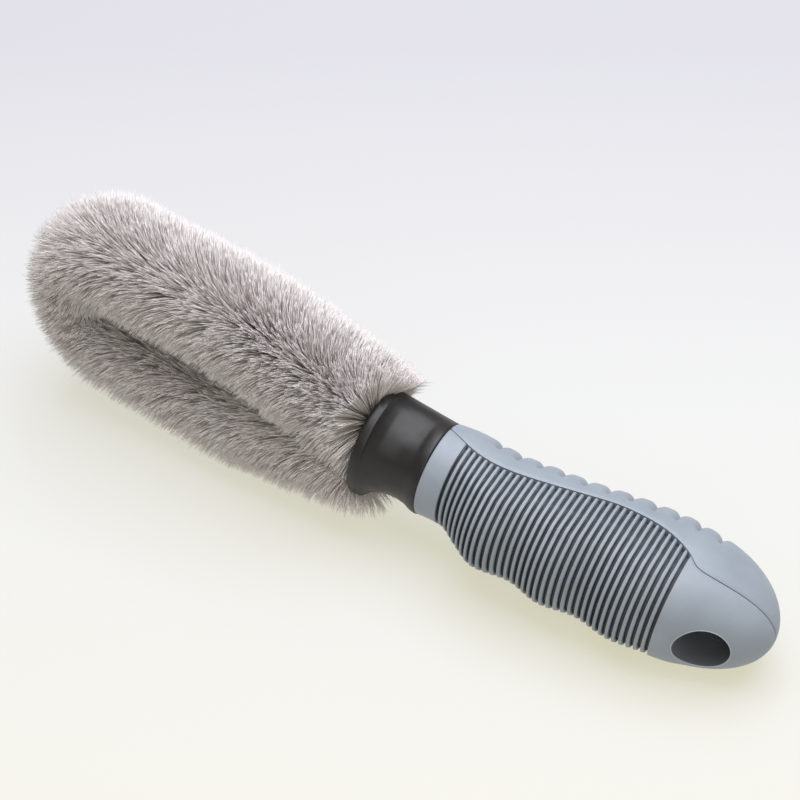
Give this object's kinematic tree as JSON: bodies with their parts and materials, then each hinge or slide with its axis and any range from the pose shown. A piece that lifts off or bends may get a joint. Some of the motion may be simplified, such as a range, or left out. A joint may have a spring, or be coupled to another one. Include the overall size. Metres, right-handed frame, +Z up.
{
  "type": "wheel brush",
  "caption": "Hand brush for wheels: a looped twisted-wire bristle head in a flared collar, with a ribbed soft-grip handle and a hang hole.",
  "frame": {"origin": "centre of the bounding box's base, on the bench that the brush lies on", "axes": "+X along the brush from the bristle tip to the tail, +Y towards the spine of the handle, +Z up from the bench"},
  "size_m": [0.3257, 0.0652, 0.0968],
  "materials": {
    "core": "satin",
    "collar": "satin",
    "grip": "matte",
    "spine": "matte",
    "steel": "satin",
    "bristle": "satin"
  },
  "bodies": {
    "root": {"handle_core": "core", "collar": "collar", "mouth_plug": "core", "grip_body": "grip", "grip_spine": "spine", "wire_strand_a": "steel", "wire_strand_b": "steel", "ferrule_upper": "steel", "ferrule_lower": "steel", "bristles_upper_root": "bristle", "bristles_upper_mid": "bristle", "bristles_upper_fore": "bristle", "bristles_bend": "bristle", "bristles_lower_fore": "bristle", "bristles_lower_mid": "bristle", "bristles_lower_root": "bristle"}
  },
  "joints": []
}
